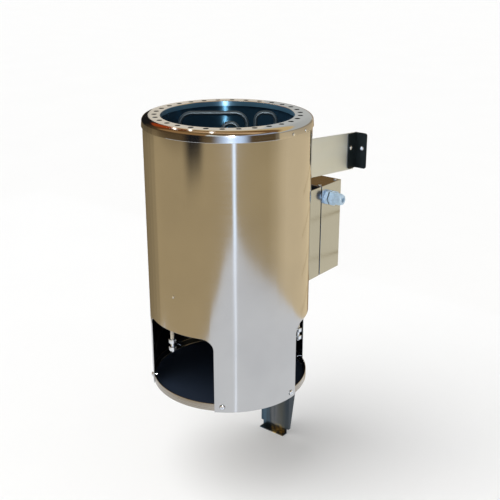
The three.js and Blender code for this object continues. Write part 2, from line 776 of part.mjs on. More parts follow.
function boxBase() {
  const half = BOX_HALF_WIDTH - BOX_SHEET - CLEARANCE;
  const bottom = boxBottom + BOX_SHEET + CLEARANCE;
  const top = boxTop - BOX_SHEET - CLEARANCE;
  const front = mountRear + CLEARANCE;
  const rear = coverRear - BOX_SHEET - BASE_FLANGE_GAP;
  const sheets = join(
    box(-half, half, front, front + BOX_SHEET, bottom, top),
    box(-half, half, front, rear, bottom, bottom + BOX_SHEET),
    box(-half, half, front, rear, top - BOX_SHEET, top),
  );
  const slotHalf = COVER_SCREW.shank + CLEARANCE;
  const slots = [-1, 1].map((side) => {
    const x = side * (BOX_HALF_WIDTH - COVER_SCREW_INSET);
    const y0 = coverFront + COVER_SCREW_FRONT - slotHalf;
    return box(x - slotHalf, x + slotHalf, y0, rear + CUT_MARGIN, top - CUT_MARGIN, top + CUT_MARGIN);
  });
  return piece("box_base", stainless, cut(sheets, slots));
}

function boxCover() {
  const half = BOX_HALF_WIDTH;
  const inner = half - BOX_SHEET;
  const rear = coverRear - BOX_SHEET;
  const shell = solid(box(-half, half, coverFront, coverRear, boxBottom, boxTop));
  const space = box(-inner, inner, coverFront - CUT_MARGIN, rear, boxBottom + BOX_SHEET, boxTop - BOX_SHEET);
  const screwHoles = coverScrewPoints.map((point) => fastenerHole(COVER_SCREW, point, upward));
  const holeRadius = GLAND_THREAD_RADIUS + CLEARANCE;
  const glandHole = drill(holeRadius, glandPoint, sideways(1), CUT_MARGIN, GLAND_STEPS);
  return piece("box_cover", stainless, cut(shell, [space, ...screwHoles, glandHole]));
}

function terminalBlock() {
  const half = BLOCK_WIDTH / 2;
  const front = mountRear + CLEARANCE + BOX_SHEET + SEAT_GAP;
  const bottom = boxBottom + BLOCK_RISE;
  const profile = [
    [front, bottom],
    [front + BLOCK_DEPTH - BLOCK_LEDGE, bottom],
    [front + BLOCK_DEPTH - BLOCK_LEDGE, bottom + BLOCK_LEDGE],
    [front + BLOCK_DEPTH, bottom + BLOCK_LEDGE],
    [front + BLOCK_DEPTH, bottom + BLOCK_HEIGHT - BLOCK_LEDGE],
    [front + BLOCK_DEPTH - BLOCK_LEDGE, bottom + BLOCK_HEIGHT - BLOCK_LEDGE],
    [front + BLOCK_DEPTH - BLOCK_LEDGE, bottom + BLOCK_HEIGHT],
    [front, bottom + BLOCK_HEIGHT],
  ];
  const pitch = BLOCK_WIDTH / BLOCK_HOLE_COUNT;
  const wireHoles = Array.from({ length: BLOCK_HOLE_COUNT }, (_, index) => {
    const x = (index + 0.5) * pitch - half;
    const place = new THREE.Vector3(x, front + (BLOCK_DEPTH - BLOCK_LEDGE) / 2, bottom);
    return drill(BLOCK_HOLE_RADIUS, place, upward, BLOCK_HEIGHT + CUT_MARGIN);
  });
  return piece("terminal_block", blockPlastic, cut(solid(sideSheet(profile, -half, half)), wireHoles));
}

// The gland is made along +Z from the cover's outer face, then aimed out of the cover's side.
function glandPiece(name, material, body) {
  const part = piece(name, material, body);
  aim(part.geometry, sideways(1), glandPoint);
  return part;
}

const neckTop = GLAND_HEX_LENGTH + GLAND_NECK;
const socketRadius = SEAL_BORE + SEAL_WALL + CLEARANCE;
const sealTop = neckTop + SEAL_PROUD;
const sealBottom = sealTop - SEAL_LENGTH;

function glandBody() {
  const core = turned(rodProfile(GLAND_THREAD_RADIUS, -GLAND_SPIGOT, neckTop), GLAND_STEPS);
  const flange = hexagon(GLAND_HEX_RADIUS, SEAT_GAP, GLAND_HEX_LENGTH);
  const body = bored(join(core, flange), GLAND_BORE, -GLAND_SPIGOT, neckTop, GLAND_STEPS);
  const socket = turned(rodProfile(socketRadius, sealBottom - CLEARANCE, neckTop + CUT_MARGIN), GLAND_STEPS);
  return glandPiece("gland_body", polyamide, cut(body, [socket]));
}

function glandLocknut() {
  const top = -BOX_SHEET - SEAT_GAP;
  const bottom = top - LOCKNUT_THICKNESS;
  const hex = solid(hexagon(LOCKNUT_RADIUS, bottom, top));
  const nut = bored(hex, GLAND_THREAD_RADIUS + CLEARANCE, bottom, top, GLAND_STEPS);
  return glandPiece("gland_locknut", polyamide, nut);
}

function glandSeal() {
  const sleeve = turnedRing(tubeProfile(SEAL_BORE, SEAL_BORE + SEAL_WALL, sealBottom, sealTop), GLAND_STEPS);
  return glandPiece("gland_seal", rubber, solid(sleeve));
}

function glandDomeNut() {
  const start = GLAND_HEX_LENGTH + DOME_NUT_GAP;
  const hexTop = start + DOME_NUT_HEX;
  const end = start + DOME_NUT_LENGTH;
  const shoulder = (hexTop + end) / 2;
  const pressFace = sealTop + CLEARANCE;
  const dome = turned([
    [0, start],
    [DOME_RADIUS, start],
    [DOME_RADIUS, shoulder],
    [(DOME_RADIUS + DOME_END_RADIUS) / 2, end - DOME_NUT_GAP],
    [DOME_END_RADIUS, end],
    [0, end],
  ], GLAND_STEPS);
  const hex = hexagon(GLAND_HEX_RADIUS, start, hexTop);
  const body = bored(join(dome, hex), DOME_HOLE, start, end, GLAND_STEPS);
  const threadRadius = GLAND_THREAD_RADIUS + CLEARANCE;
  const thread = turned(rodProfile(threadRadius, start - CUT_MARGIN, pressFace), GLAND_STEPS);
  return glandPiece("gland_dome_nut", polyamide, cut(body, [thread]));
}

const ringRivets = RING_RIVET_HEADINGS.map((heading, index) => {
  const place = around(heading, skirtOuter, ringRivetLevel);
  return fastener(`ring_rivet_${index + 1}`, RIVET, place, outward(heading));
});

const heater = new THREE.Group();
heater.name = "sauna_heater_stove";
heater.position.y = originShift;
heater.add(
  outerMantle(),
  topRing(),
  ...ringRivets,
  fastener("front_rivet", RIVET, frontRivetPoint, outward(FRONT_RIVET_HEADING)),
  innerLiner(),
  elementPlate(),
  stoneGrate(),
  ...hairpins.map(heatingElement),
  ...elementLegPoints.map(elementNut),
  ...postPoints.flatMap(terminalPost),
  bottomPan(),
  ...panScrewPlaces.map(panScrew),
  supportLeg(),
  ...legScrewLevels.map((level, index) => rearScrew(`leg_screw_${index + 1}`, LEG_SHEET, level)),
  upperBracket(),
  ...bracketScrewLevels.map((level, index) => rearScrew(`bracket_screw_${index + 1}`, BRACKET_SHEET, level)),
  wallAngle("wall_angle_left", -1),
  wallAngle("wall_angle_right", 1),
  fastener("angle_screw_left", ARM_SCREW, armScrewPoint(-1), sideways(-1)),
  fastener("angle_screw_right", ARM_SCREW, armScrewPoint(1), sideways(1)),
  fastener("wall_screw_left", WALL_SCREW, wallScrewPoint(-1), backward.clone().negate()),
  fastener("wall_screw_right", WALL_SCREW, wallScrewPoint(1), backward.clone().negate()),
  boxMount(),
  ...mountScrewLevels.map((level, index) => rearScrew(`mount_screw_${index + 1}`, BOX_SHEET, level)),
  boxBase(),
  boxCover(),
  ...coverScrewPoints.map((point, index) => fastener(`cover_screw_${index + 1}`, COVER_SCREW, point, upward)),
  terminalBlock(),
  glandBody(),
  glandLocknut(),
  glandSeal(),
  glandDomeNut(),
);

export default heater;
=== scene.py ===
import math

import bmesh
import bpy
from mathutils import Matrix, Vector


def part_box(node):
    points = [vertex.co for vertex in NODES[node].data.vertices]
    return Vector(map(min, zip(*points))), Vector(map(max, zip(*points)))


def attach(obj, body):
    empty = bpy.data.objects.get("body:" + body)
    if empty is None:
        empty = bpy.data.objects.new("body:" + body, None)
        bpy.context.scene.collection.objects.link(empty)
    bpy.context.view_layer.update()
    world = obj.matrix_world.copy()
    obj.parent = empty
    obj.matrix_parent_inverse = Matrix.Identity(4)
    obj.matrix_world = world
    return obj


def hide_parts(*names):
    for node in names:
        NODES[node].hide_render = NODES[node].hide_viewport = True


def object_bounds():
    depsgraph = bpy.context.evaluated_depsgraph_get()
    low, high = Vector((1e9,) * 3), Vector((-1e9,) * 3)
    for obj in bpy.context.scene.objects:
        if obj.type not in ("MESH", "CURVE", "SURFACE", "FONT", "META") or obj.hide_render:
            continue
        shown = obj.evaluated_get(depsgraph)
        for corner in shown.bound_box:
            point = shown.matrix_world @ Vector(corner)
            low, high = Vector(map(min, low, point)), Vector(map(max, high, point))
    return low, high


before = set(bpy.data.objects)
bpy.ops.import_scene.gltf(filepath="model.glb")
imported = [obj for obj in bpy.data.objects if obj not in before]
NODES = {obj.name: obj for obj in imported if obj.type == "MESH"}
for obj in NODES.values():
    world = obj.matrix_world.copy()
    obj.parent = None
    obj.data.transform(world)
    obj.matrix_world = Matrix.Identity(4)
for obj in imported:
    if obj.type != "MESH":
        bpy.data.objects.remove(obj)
cad_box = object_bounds()
MM = 0.001


# Places read from the frame

def corners(node):
    low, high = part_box(node)
    return Vector(low), Vector(high)


mantle_low, mantle_high = corners("outer_mantle")
AXIS = Vector(((mantle_low.x + mantle_high.x) / 2, (mantle_low.y + mantle_high.y) / 2, 0))
RADIUS = (mantle_high.x - mantle_low.x) / 2
BOTTOM = mantle_low.z
ring_low, ring_high = corners("top_ring")
SKIRT = (ring_high.x - ring_low.x) / 2
RING_TOP = ring_high.z
SKIRT_BOTTOM = ring_low.z
MANTLE_TOP = mantle_high.z


def around(heading, radius, height):
    angle = math.radians(heading)
    return Vector((AXIS.x + radius * math.sin(angle), AXIS.y - radius * math.cos(angle), height))


def outward(heading):
    angle = math.radians(heading)
    return Vector((math.sin(angle), -math.cos(angle), 0))


# Material nodes

class Shader:
    """A principled material with helpers that add texture nodes."""

    def __init__(self, name, color, metallic, roughness):
        self.material = bpy.data.materials.new(name)
        self.material.use_nodes = True
        self.tree = self.material.node_tree
        self.bsdf = self.tree.nodes["Principled BSDF"]
        self.bsdf.inputs["Base Color"].default_value = (*color, 1)
        self.bsdf.inputs["Metallic"].default_value = metallic
        self.bsdf.inputs["Roughness"].default_value = roughness
        self.material.diffuse_color = (*color, 1)

    def node(self, kind, **values):
        made = self.tree.nodes.new(kind)
        for key, value in values.items():
            if key in made.inputs:
                made.inputs[key].default_value = value
            else:
                setattr(made, key, value)
        return made

    def link(self, output, target):
        self.tree.links.new(output, target)

    def coordinates(self, kind, scale):
        source = self.node("ShaderNodeTexCoord")
        mapping = self.node("ShaderNodeMapping")
        mapping.inputs["Scale"].default_value = scale
        self.link(source.outputs[kind], mapping.inputs["Vector"])
        return mapping.outputs["Vector"]

    def noise(self, vector, scale, detail=4.0, rough=0.55):
        made = self.node("ShaderNodeTexNoise", Scale=scale, Detail=detail, Roughness=rough)
        self.link(vector, made.inputs["Vector"])
        return made.outputs["Fac"]

    def spread(self, value, low, high, start=0.3, end=0.7):
        made = self.node("ShaderNodeMapRange")
        made.inputs["From Min"].default_value = start
        made.inputs["From Max"].default_value = end
        made.inputs["To Min"].default_value = low
        made.inputs["To Max"].default_value = high
        self.link(value, made.inputs["Value"])
        return made.outputs["Result"]

    def shade(self, value, first, second):
        made = self.node("ShaderNodeMix", data_type="RGBA")
        made.inputs["A"].default_value = (*first, 1)
        made.inputs["B"].default_value = (*second, 1)
        for socket in made.inputs:
            if socket.type == "RGBA" and socket.name == "A":
                socket.default_value = (*first, 1)
            if socket.type == "RGBA" and socket.name == "B":
                socket.default_value = (*second, 1)
        self.link(value, made.inputs["Factor"])
        return [socket for socket in made.outputs if socket.type == "RGBA"][0]

    def color(self, output):
        self.link(output, self.bsdf.inputs["Base Color"])

    def roughness(self, output):
        self.link(output, self.bsdf.inputs["Roughness"])

    def bump(self, height, strength, distance):
        made = self.node("ShaderNodeBump", Strength=strength, Distance=distance)
        self.link(height, made.inputs["Height"])
        self.link(made.outputs["Normal"], self.bsdf.inputs["Normal"])


def sheet_steel(name, color, dark, rough, grain, around_axis=False, spread=0.7, wave=0.0):
    shader = Shader(name, color, 1.0, sum(rough) / 2)
    lines = shader.noise(shader.coordinates("UV" if around_axis else "Object", grain), 1.0, 3.0)
    clouds = shader.noise(shader.coordinates("Object", (1, 1, 1)), 7.0, 3.0)
    shader.roughness(shader.spread(lines, *rough))
    shader.color(shader.shade(shader.spread(clouds, 0, 1), color, dark))
    if wave:
        shader.bump(shader.noise(shader.coordinates("Object", (1, 1, 0.6)), 10.0, 1.0), 1.0, wave)
    elif not around_axis:
        shader.bump(lines, 0.02, 0.0002)
    if around_axis:
        tangent = shader.node("ShaderNodeTangent", direction_type="RADIAL", axis="Z")
        shader.link(tangent.outputs["Tangent"], shader.bsdf.inputs["Tangent"])
        shader.bsdf.inputs["Anisotropic"].default_value = spread
        shader.bsdf.inputs["Anisotropic Rotation"].default_value = 0.25
    return shader.material


def coated(name, color, second, rough, scale, bump, metallic=0.0):
    shader = Shader(name, color, metallic, sum(rough) / 2)
    cloud = shader.noise(shader.coordinates("Object", (1, 1, 1)), scale / 40, 4.0)
    grain = shader.noise(shader.coordinates("Object", (1, 1, 1)), scale, 2.0)
    shader.color(shader.shade(shader.spread(cloud, 0, 1), color, second))
    shader.roughness(shader.spread(cloud, *rough))
    shader.bump(grain, bump, 0.0003)
    return shader.material


mantle_steel = sheet_steel(
    "mantle_steel", (0.56, 0.56, 0.56), (0.50, 0.50, 0.505), (0.10, 0.14), (6, 900, 1), around_axis=True, spread=0.6,
    wave=0.0006)
ring_steel = sheet_steel(
    "ring_steel", (0.66, 0.66, 0.66), (0.60, 0.60, 0.60), (0.08, 0.14), (6, 500, 1), around_axis=True)
arm_steel = sheet_steel("arm_steel", (0.66, 0.75, 0.86), (0.61, 0.70, 0.80), (0.42, 0.50), (4, 4, 60))
plate_steel = sheet_steel("plate_steel", (0.526, 0.602, 0.71), (0.49, 0.56, 0.66), (0.15, 0.20), (4, 4, 60))
pan_steel = sheet_steel(
    "pan_steel", (0.42, 0.385, 0.335), (0.37, 0.34, 0.295), (0.22, 0.30), (6, 900, 1), around_axis=True)
# inner faces of the mantle and the pan wall: the same steel painted much darker, as painted shade
inside_steel = sheet_steel(
    "inside_steel", (0.13, 0.145, 0.165), (0.09, 0.105, 0.125), (0.14, 0.22), (6, 500, 1), around_axis=True)
# Chamber liner: its navy base colour is painted light, standing for the bluish light seen inside the chamber; its
# highlights are tinted blue
dark_liner = sheet_steel(
    "dark_liner", (0.012, 0.034, 0.060), (0.010, 0.028, 0.050), (0.22, 0.26), (6, 200, 1), around_axis=True, spread=0.97)
dark_liner.node_tree.nodes["Principled BSDF"].inputs["Metallic"].default_value = 0.0
dark_liner.node_tree.nodes["Principled BSDF"].inputs["Specular IOR Level"].default_value = 0.9
dark_liner.node_tree.nodes["Principled BSDF"].inputs["Specular Tint"].default_value = (0.25, 0.65, 1.0, 1)
# Collar: its bluish base colour is painted reflection of bluish window light
collar_steel = sheet_steel(
    "collar_steel", (0.085, 0.21, 0.32), (0.06, 0.15, 0.24), (0.30, 0.40), (6, 300, 1), around_axis=True, spread=0.95)
collar_steel.node_tree.nodes["Principled BSDF"].inputs["Metallic"].default_value = 0.45
# the pan's inner floor: near-black navy with almost no gloss, painted shade for the shaded inside of the heater
dark_floor = coated("dark_floor", (0.020, 0.029, 0.048), (0.025, 0.034, 0.053), (0.30, 0.40), 500, 0.03)
dark_floor.node_tree.nodes["Principled BSDF"].inputs["Specular IOR Level"].default_value = 0.05
grate_steel = coated("grate_steel", (0.035, 0.036, 0.040), (0.05, 0.046, 0.044), (0.40, 0.55), 700, 0.15, 0.8)
element_steel = coated("element_steel", (0.050, 0.074, 0.092), (0.038, 0.058, 0.074), (0.36, 0.46), 900, 0.04, 0.30)
element_steel.node_tree.nodes["Principled BSDF"].inputs["Specular IOR Level"].default_value = 0.3


def steel_with_painted_reflections(name):
    """Dark rolled steel with painted reflections: bluish and lighter bands painted across the sheet, and a painted
    golden glint at the foot.
    """
    shader = Shader(name, (0.10, 0.11, 0.115), 0.9, 0.2)
    place = shader.node("ShaderNodeTexCoord")
    split = shader.node("ShaderNodeSeparateXYZ")
    shader.link(place.outputs["Object"], split.inputs["Vector"])
    streaks = shader.noise(shader.coordinates("Object", (90, 90, 5)), 1.0, 4.0)
    clouds = shader.noise(shader.coordinates("Object", (1, 1, 1)), 45.0, 4.0)
    across = shader.spread(split.outputs["X"], 0, 1, -0.039, 0.039)
    drift = shader.node("ShaderNodeMapRange")
    drift.inputs["From Min"].default_value = 0.3
    drift.inputs["From Max"].default_value = 0.7
    drift.inputs["To Min"].default_value = -0.14
    drift.inputs["To Max"].default_value = 0.14
    shader.link(streaks, drift.inputs["Value"])
    total = shader.node("ShaderNodeMath", operation="ADD")
    shader.link(across, total.inputs[0])
    shader.link(drift.outputs["Result"], total.inputs[1])
    ramp = shader.node("ShaderNodeValToRGB")
    # painted reflections across the sheet: bluish bands at the left, a lighter band over the middle, darker to the
    # right
    stops = ((0.0, (0.03, 0.055, 0.08)), (0.16, (0.065, 0.11, 0.15)), (0.30, (0.04, 0.05, 0.058)),
             (0.52, (0.115, 0.12, 0.125)), (0.72, (0.075, 0.077, 0.068)), (1.0, (0.035, 0.046, 0.056)))
    ramp.color_ramp.elements.remove(ramp.color_ramp.elements[1])
    ramp.color_ramp.elements[0].position = stops[0][0]
    ramp.color_ramp.elements[0].color = (*stops[0][1], 1)
    for position, color in stops[1:]:
        ramp.color_ramp.elements.new(position).color = (*color, 1)
    shader.link(total.outputs["Value"], ramp.inputs["Fac"])
    # painted golden glint near the foot, in patches over the middle of the sheet
    low = shader.spread(split.outputs["Z"], 1, 0, 0.004, 0.020)
    foot_glint = shader.node("ShaderNodeMath", operation="MULTIPLY")
    shader.link(low, foot_glint.inputs[0])
    patches = shader.node("ShaderNodeMath", operation="MULTIPLY")
    shader.link(shader.spread(clouds, 0, 1, 0.42, 0.60), patches.inputs[0])
    middle = shader.node("ShaderNodeMath", operation="PINGPONG")
    middle.inputs[1].default_value = 0.66
    shader.link(total.outputs["Value"], middle.inputs[0])
    shader.link(shader.spread(middle.outputs["Value"], 0, 1, 0.42, 0.58), patches.inputs[1])
    shader.link(patches.outputs["Value"], foot_glint.inputs[1])
    painted_reflection_mix = shader.node("ShaderNodeMix", data_type="RGBA")
    color_inputs = [socket for socket in painted_reflection_mix.inputs if socket.type == "RGBA"]
    color_inputs[1].default_value = (0.55, 0.40, 0.14, 1)
    shader.link(foot_glint.outputs["Value"], painted_reflection_mix.inputs["Factor"])
    shader.link(ramp.outputs["Color"], color_inputs[0])
    shader.color([socket for socket in painted_reflection_mix.outputs if socket.type == "RGBA"][0])
    shader.roughness(shader.spread(clouds, 0.14, 0.26))
    shader.bump(streaks, 0.03, 0.0003)
    return shader.material


leg_painted_sheen = steel_with_painted_reflections("leg_painted_sheen")
black_paint = coated("black_paint", (0.007, 0.011, 0.013), (0.011, 0.016, 0.018), (0.30, 0.42), 1400, 0.12)
black_paint.node_tree.nodes["Principled BSDF"].inputs["Specular IOR Level"].default_value = 0.10
# near-black material for the painted contact shade round screw heads
painted_screw_shade = coated("painted_screw_shade", (0.030, 0.030, 0.032), (0.020, 0.020, 0.022), (0.5, 0.6), 900, 0.05)
zinc = coated("zinc", (0.80, 0.84, 0.90), (0.70, 0.74, 0.80), (0.16, 0.28), 1200, 0.04, 1.0)
ceramic = coated("ceramic", (0.58, 0.53, 0.44), (0.50, 0.45, 0.36), (0.25, 0.40), 900, 0.08)
polyamide = coated("polyamide", (0.60, 0.79, 0.95), (0.54, 0.73, 0.89), (0.28, 0.38), 1600, 0.05)


def polyamide_with_painted_gap_shade(name, gap):
    """Pale polyamide with painted shade: dark in the gap between the gland's hexagon and its nut."""
    shader = Shader(name, (0.58, 0.77, 0.93), 0.0, 0.32)
    place = shader.node("ShaderNodeTexCoord")
    split = shader.node("ShaderNodeSeparateXYZ")
    shader.link(place.outputs["Object"], split.inputs["Vector"])
    away = shader.node("ShaderNodeMath", operation="SUBTRACT")
    away.inputs[1].default_value = gap
    shader.link(split.outputs["X"], away.inputs[0])
    size = shader.node("ShaderNodeMath", operation="ABSOLUTE")
    shader.link(away.outputs["Value"], size.inputs[0])
    cloud = shader.noise(shader.coordinates("Object", (1, 1, 1)), 160.0, 4.0)
    wide = shader.node("ShaderNodeMath", operation="MULTIPLY_ADD")
    wide.inputs[1].default_value = 0.0012
    shader.link(cloud, wide.inputs[0])
    shader.link(size.outputs["Value"], wide.inputs[2])
    # painted shade: a dark band about the gap, where shade falls between the hexagon and the nut
    dark = shader.spread(wide.outputs["Value"], 1, 0, 0.0014, 0.0026)
    shader.color(shader.shade(dark, (0.53, 0.71, 0.87), (0.08, 0.13, 0.17)))
    shader.roughness(shader.spread(cloud, 0.24, 0.36))
    shader.bump(shader.noise(shader.coordinates("Object", (1, 1, 1)), 1600.0, 2.0), 0.05, 0.0003)
    return shader.material


gap_shaded_polyamide = polyamide_with_painted_gap_shade("gap_shaded_polyamide", corners("gland_dome_nut")[0].x - 0.5 * MM)
rubber = coated("rubber", (0.014, 0.014, 0.014), (0.02, 0.02, 0.02), (0.6, 0.75), 1500, 0.1)
block_plastic = coated("block_plastic", (0.72, 0.68, 0.58), (0.66, 0.62, 0.52), (0.35, 0.45), 1500, 0.05)


# Mesh helpers

def finish(obj, material, body="heater", replaced=(), bevel=0.0, angle=35):
    obj.data.materials.clear()
    obj.data.materials.append(material)
    smooth(obj.data, angle)
    if bevel:
        round_edges(obj, bevel, angle)
    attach(obj, body)
    if replaced:
        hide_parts(*replaced)
    return obj


def smooth(mesh, angle):
    for polygon in mesh.polygons:
        polygon.use_smooth = True
    mesh.set_sharp_from_angle(angle=math.radians(angle))


def round_edges(obj, width, angle=35, segments=3):
    bevel = obj.modifiers.new("edges", "BEVEL")
    bevel.width = width
    bevel.segments = segments
    bevel.limit_method = "ANGLE"
    bevel.angle_limit = math.radians(angle)
    bevel.use_clamp_overlap = True
    bevel.harden_normals = True


def new_object(name, mesh):
    obj = bpy.data.objects.new(name, mesh)
    bpy.context.scene.collection.objects.link(obj)
    return obj


def mesh_from(name, points, faces, uvs=None):
    mesh = bpy.data.meshes.new(name)
    mesh.from_pydata([tuple(p) for p in points], [], faces)
    if uvs:
        layer = mesh.uv_layers.new(name="UVMap")
        for loop, uv in zip(layer.data, uvs):
            loop.uv = uv
    mesh.validate()
    mesh.update()
    return mesh


def lathe(name, profile, steps, closed=True, place=None):
    """A profile of (radius, height) turned about the heater's axis, outer side upwards."""
    place = place or (lambda heading, radius, height: around(heading, radius, height))
    rows = list(profile) + ([profile[0]] if closed else [])
    lengths = [0.0]
    for (r0, z0), (r1, z1) in zip(rows, rows[1:]):
        lengths.append(lengths[-1] + math.hypot(r1 - r0, z1 - z0))
    count = len(profile)
    points = [place(360 * i / steps, r, z) for i in range(steps) for r, z in profile]
    reach = max(r for r, _ in profile)
    faces, uvs = [], []
    for i in range(steps):
        after = (i + 1) % steps
        u0, u1 = (2 * math.pi * reach * k / steps for k in (i, i + 1))
        for j in range(len(rows) - 1):
            k = (j + 1) % count
            faces.append((i * count + j, after * count + j, after * count + k, i * count + k))
            v0, v1 = lengths[j], lengths[j + 1]
            uvs += [(u0, v0), (u1, v0), (u1, v1), (u0, v1)]
    return mesh_from(name, points, faces, uvs)


def merged(mesh, distance=1e-6):
    made = bmesh.new()
    made.from_mesh(mesh)
    bmesh.ops.remove_doubles(made, verts=made.verts, dist=distance)
    bmesh.ops.dissolve_degenerate(made, edges=made.edges, dist=1e-7)
    bmesh.ops.recalc_face_normals(made, faces=made.faces)
    made.to_mesh(mesh)
    made.free()
    return mesh


def arc(center_r, center_z, across, up, start, end, steps):
    result = []
    for i in range(steps + 1):
        angle = math.radians(start + (end - start) * i / steps)
        result.append((center_r + across * math.cos(angle), center_z + up * math.sin(angle)))
    return result


def cut_away(obj, cutter):
    """Applies a difference with the cutter, then deletes the cutter."""
    boolean = obj.modifiers.new("cut", "BOOLEAN")
    boolean.operation = "DIFFERENCE"
    boolean.solver = "EXACT"
    boolean.object = cutter
    bpy.context.view_layer.update()
    evaluated = obj.evaluated_get(bpy.context.evaluated_depsgraph_get())
    mesh = bpy.data.meshes.new_from_object(evaluated)
    obj.modifiers.clear()
    obj.data = mesh
    bpy.data.objects.remove(cutter)


def tube(name, path, radius, sides=20):
    """A round rod along points of a path that bends in one plane or more."""
    path = [Vector(p) for p in path]
    directions = []
    for i in range(len(path)):
        before = path[max(i - 1, 0)]
        after = path[min(i + 1, len(path) - 1)]
        directions.append((after - before).normalized())
    side = directions[0].orthogonal().normalized()
    points, faces = [], []
    for i, (point, direction) in enumerate(zip(path, directions)):
        side = (side - side.dot(direction) * direction).normalized()
        other = direction.cross(side)
        for j in range(sides):
            angle = 2 * math.pi * j / sides
            points.append(point + radius * (math.cos(angle) * side + math.sin(angle) * other))
    for i in range(len(path) - 1):
        for j in range(sides):
            k = (j + 1) % sides
            faces.append((i * sides + j, i * sides + k, (i + 1) * sides + k, (i + 1) * sides + j))
    faces.append(tuple(reversed(range(sides))))
    faces.append(tuple(range((len(path) - 1) * sides, len(path) * sides)))
    return mesh_from(name, points, faces)


# Outer mantle: one sheet with two windows that open at the lower edge

WINDOWS = ((-36, 29), (94, 143))
WINDOW_TOP = BOTTOM + 153 * MM
CORNER = 22 * MM
SHEET = 1.5 * MM


def window_columns(start, end):
    """(heading, lower edge) pairs across one window."""
    center = (start + end) / 2
    half = RADIUS * math.sin(math.radians((end - start) / 2))
    flat = half - CORNER
    columns = []
    for i in range(13):
        angle = math.radians(90 * i / 12)
        columns.append((-flat - CORNER * math.cos(angle), WINDOW_TOP - CORNER + CORNER * math.sin(angle)))
    for i in range(1, 24):
        columns.append((-flat + 2 * flat * i / 24, WINDOW_TOP))
    for i in range(13):
        angle = math.radians(90 - 90 * i / 12)
        columns.append((flat + CORNER * math.cos(angle), WINDOW_TOP - CORNER + CORNER * math.sin(angle)))
    return [(center + math.degrees(math.asin(x / RADIUS)), z) for x, z in columns]


def mantle_mesh():
    upper_rows = 12
    points, faces, uvs = [], [], []

    def grid(columns, rows):
        start = len(points)
        for heading, low, high in columns:
            for j in range(rows + 1):
                points.append(around(heading, RADIUS, low + (high - low) * j / rows))
        for i in range(len(columns) - 1):
            for j in range(rows):
                a = start + i * (rows + 1) + j
                b = start + (i + 1) * (rows + 1) + j
                faces.append((a, b, b + 1, a + 1))
                for k, (index, row) in enumerate(((i, j), (i + 1, j), (i + 1, j + 1), (i, j + 1))):
                    heading, low, high = columns[index]
                    uvs.append((math.radians(heading) * RADIUS, low + (high - low) * row / rows))

    edge = WINDOW_TOP - CORNER
    for (start, end), (after, _) in zip(WINDOWS, (WINDOWS[1], (WINDOWS[0][0] + 360, 0))):
        grid([(heading, low, MANTLE_TOP) for heading, low in window_columns(start, end)], upper_rows)
        count = round((after - end) / 1.5)
        strip = [end + (after - end) * i / count for i in range(count + 1)]
        grid([(heading, edge, MANTLE_TOP) for heading in strip], upper_rows)
        grid([(heading, BOTTOM, edge) for heading in strip], 4)
    return merged(mesh_from("mantle_sheet", points, faces, uvs), 1e-5)


mantle = new_object("mantle_sheet", mantle_mesh())
shell = mantle.modifiers.new("sheet", "SOLIDIFY")
shell.thickness = SHEET
shell.offset = -1
shell.material_offset = 1
finish(mantle, mantle_steel, replaced=["outer_mantle"])
# the sheet's inner faces take the darker steel, painted shade
mantle.data.materials.append(inside_steel)
round_edges(mantle, 0.4 * MM, 50, 2)


# Top ring with its air holes

ANNULUS = SKIRT - 14 * MM
OPENING = ANNULUS - 22 * MM
RING_SHEET = 1.8 * MM
SHOULDER = RING_TOP - MANTLE_TOP
DRAFT = 0.8 * MM


def ring_profile():
    collar = OPENING + RING_SHEET
    under = RING_TOP - RING_SHEET
    outer = arc(ANNULUS, MANTLE_TOP, SKIRT - DRAFT - ANNULUS, SHOULDER, 0, 90, 14)
    inner = arc(ANNULUS, MANTLE_TOP, SKIRT - DRAFT - ANNULUS - 1 * MM, SHOULDER - 1 * MM, 90, 0, 10)
    lip = arc(OPENING + 1.8 * MM, RING_TOP - 1.8 * MM, 1.8 * MM, 1.8 * MM, 90, 180, 6)
    return [
        (SKIRT - 0.5 * MM, SKIRT_BOTTOM), (SKIRT, SKIRT_BOTTOM + 0.6 * MM), *outer,
        (ANNULUS - 3 * MM, RING_TOP), *lip,
        (OPENING, RING_TOP - 10 * MM), (collar, RING_TOP - 10 * MM), (collar, under - 0.5 * MM),
        (collar + 0.5 * MM, under), *inner, (SKIRT - RING_SHEET, SKIRT_BOTTOM),
    ]


ring = new_object("top_ring_pressing", lathe("top_ring_pressing", ring_profile(), 240))
hole_circle = OPENING + 11 * MM
hole_points, hole_faces = [], []
for index in range(30):
    center = around(12 * index, hole_circle, RING_TOP)
    first = len(hole_points)
    for level in (-6 * MM, 6 * MM):
        for step in range(20):
            angle = 2 * math.pi * step / 20
            hole_points.append(center + Vector((5.2 * MM * math.cos(angle), 5.2 * MM * math.sin(angle), level)))
    for step in range(20):
        after = (step + 1) % 20
        hole_faces.append((first + step, first + after, first + 20 + after, first + 20 + step))
    hole_faces.append(tuple(first + 19 - step for step in range(20)))
    hole_faces.append(tuple(first + 20 + step for step in range(20)))
cut_away(ring, new_object("hole_cutter", mesh_from("hole_cutter", hole_points, hole_faces)))
finish(ring, ring_steel, replaced=["top_ring"], angle=40)
ring.data.materials.append(collar_steel)
# the collar faces round the opening take the bluish steel with the painted reflection
for polygon in ring.data.polygons:
    middle = polygon.center - AXIS
    if math.hypot(middle.x, middle.y) < OPENING + 0.9 * MM and polygon.normal.z < 0.6:
        polygon.material_index = 1


# Stone chamber

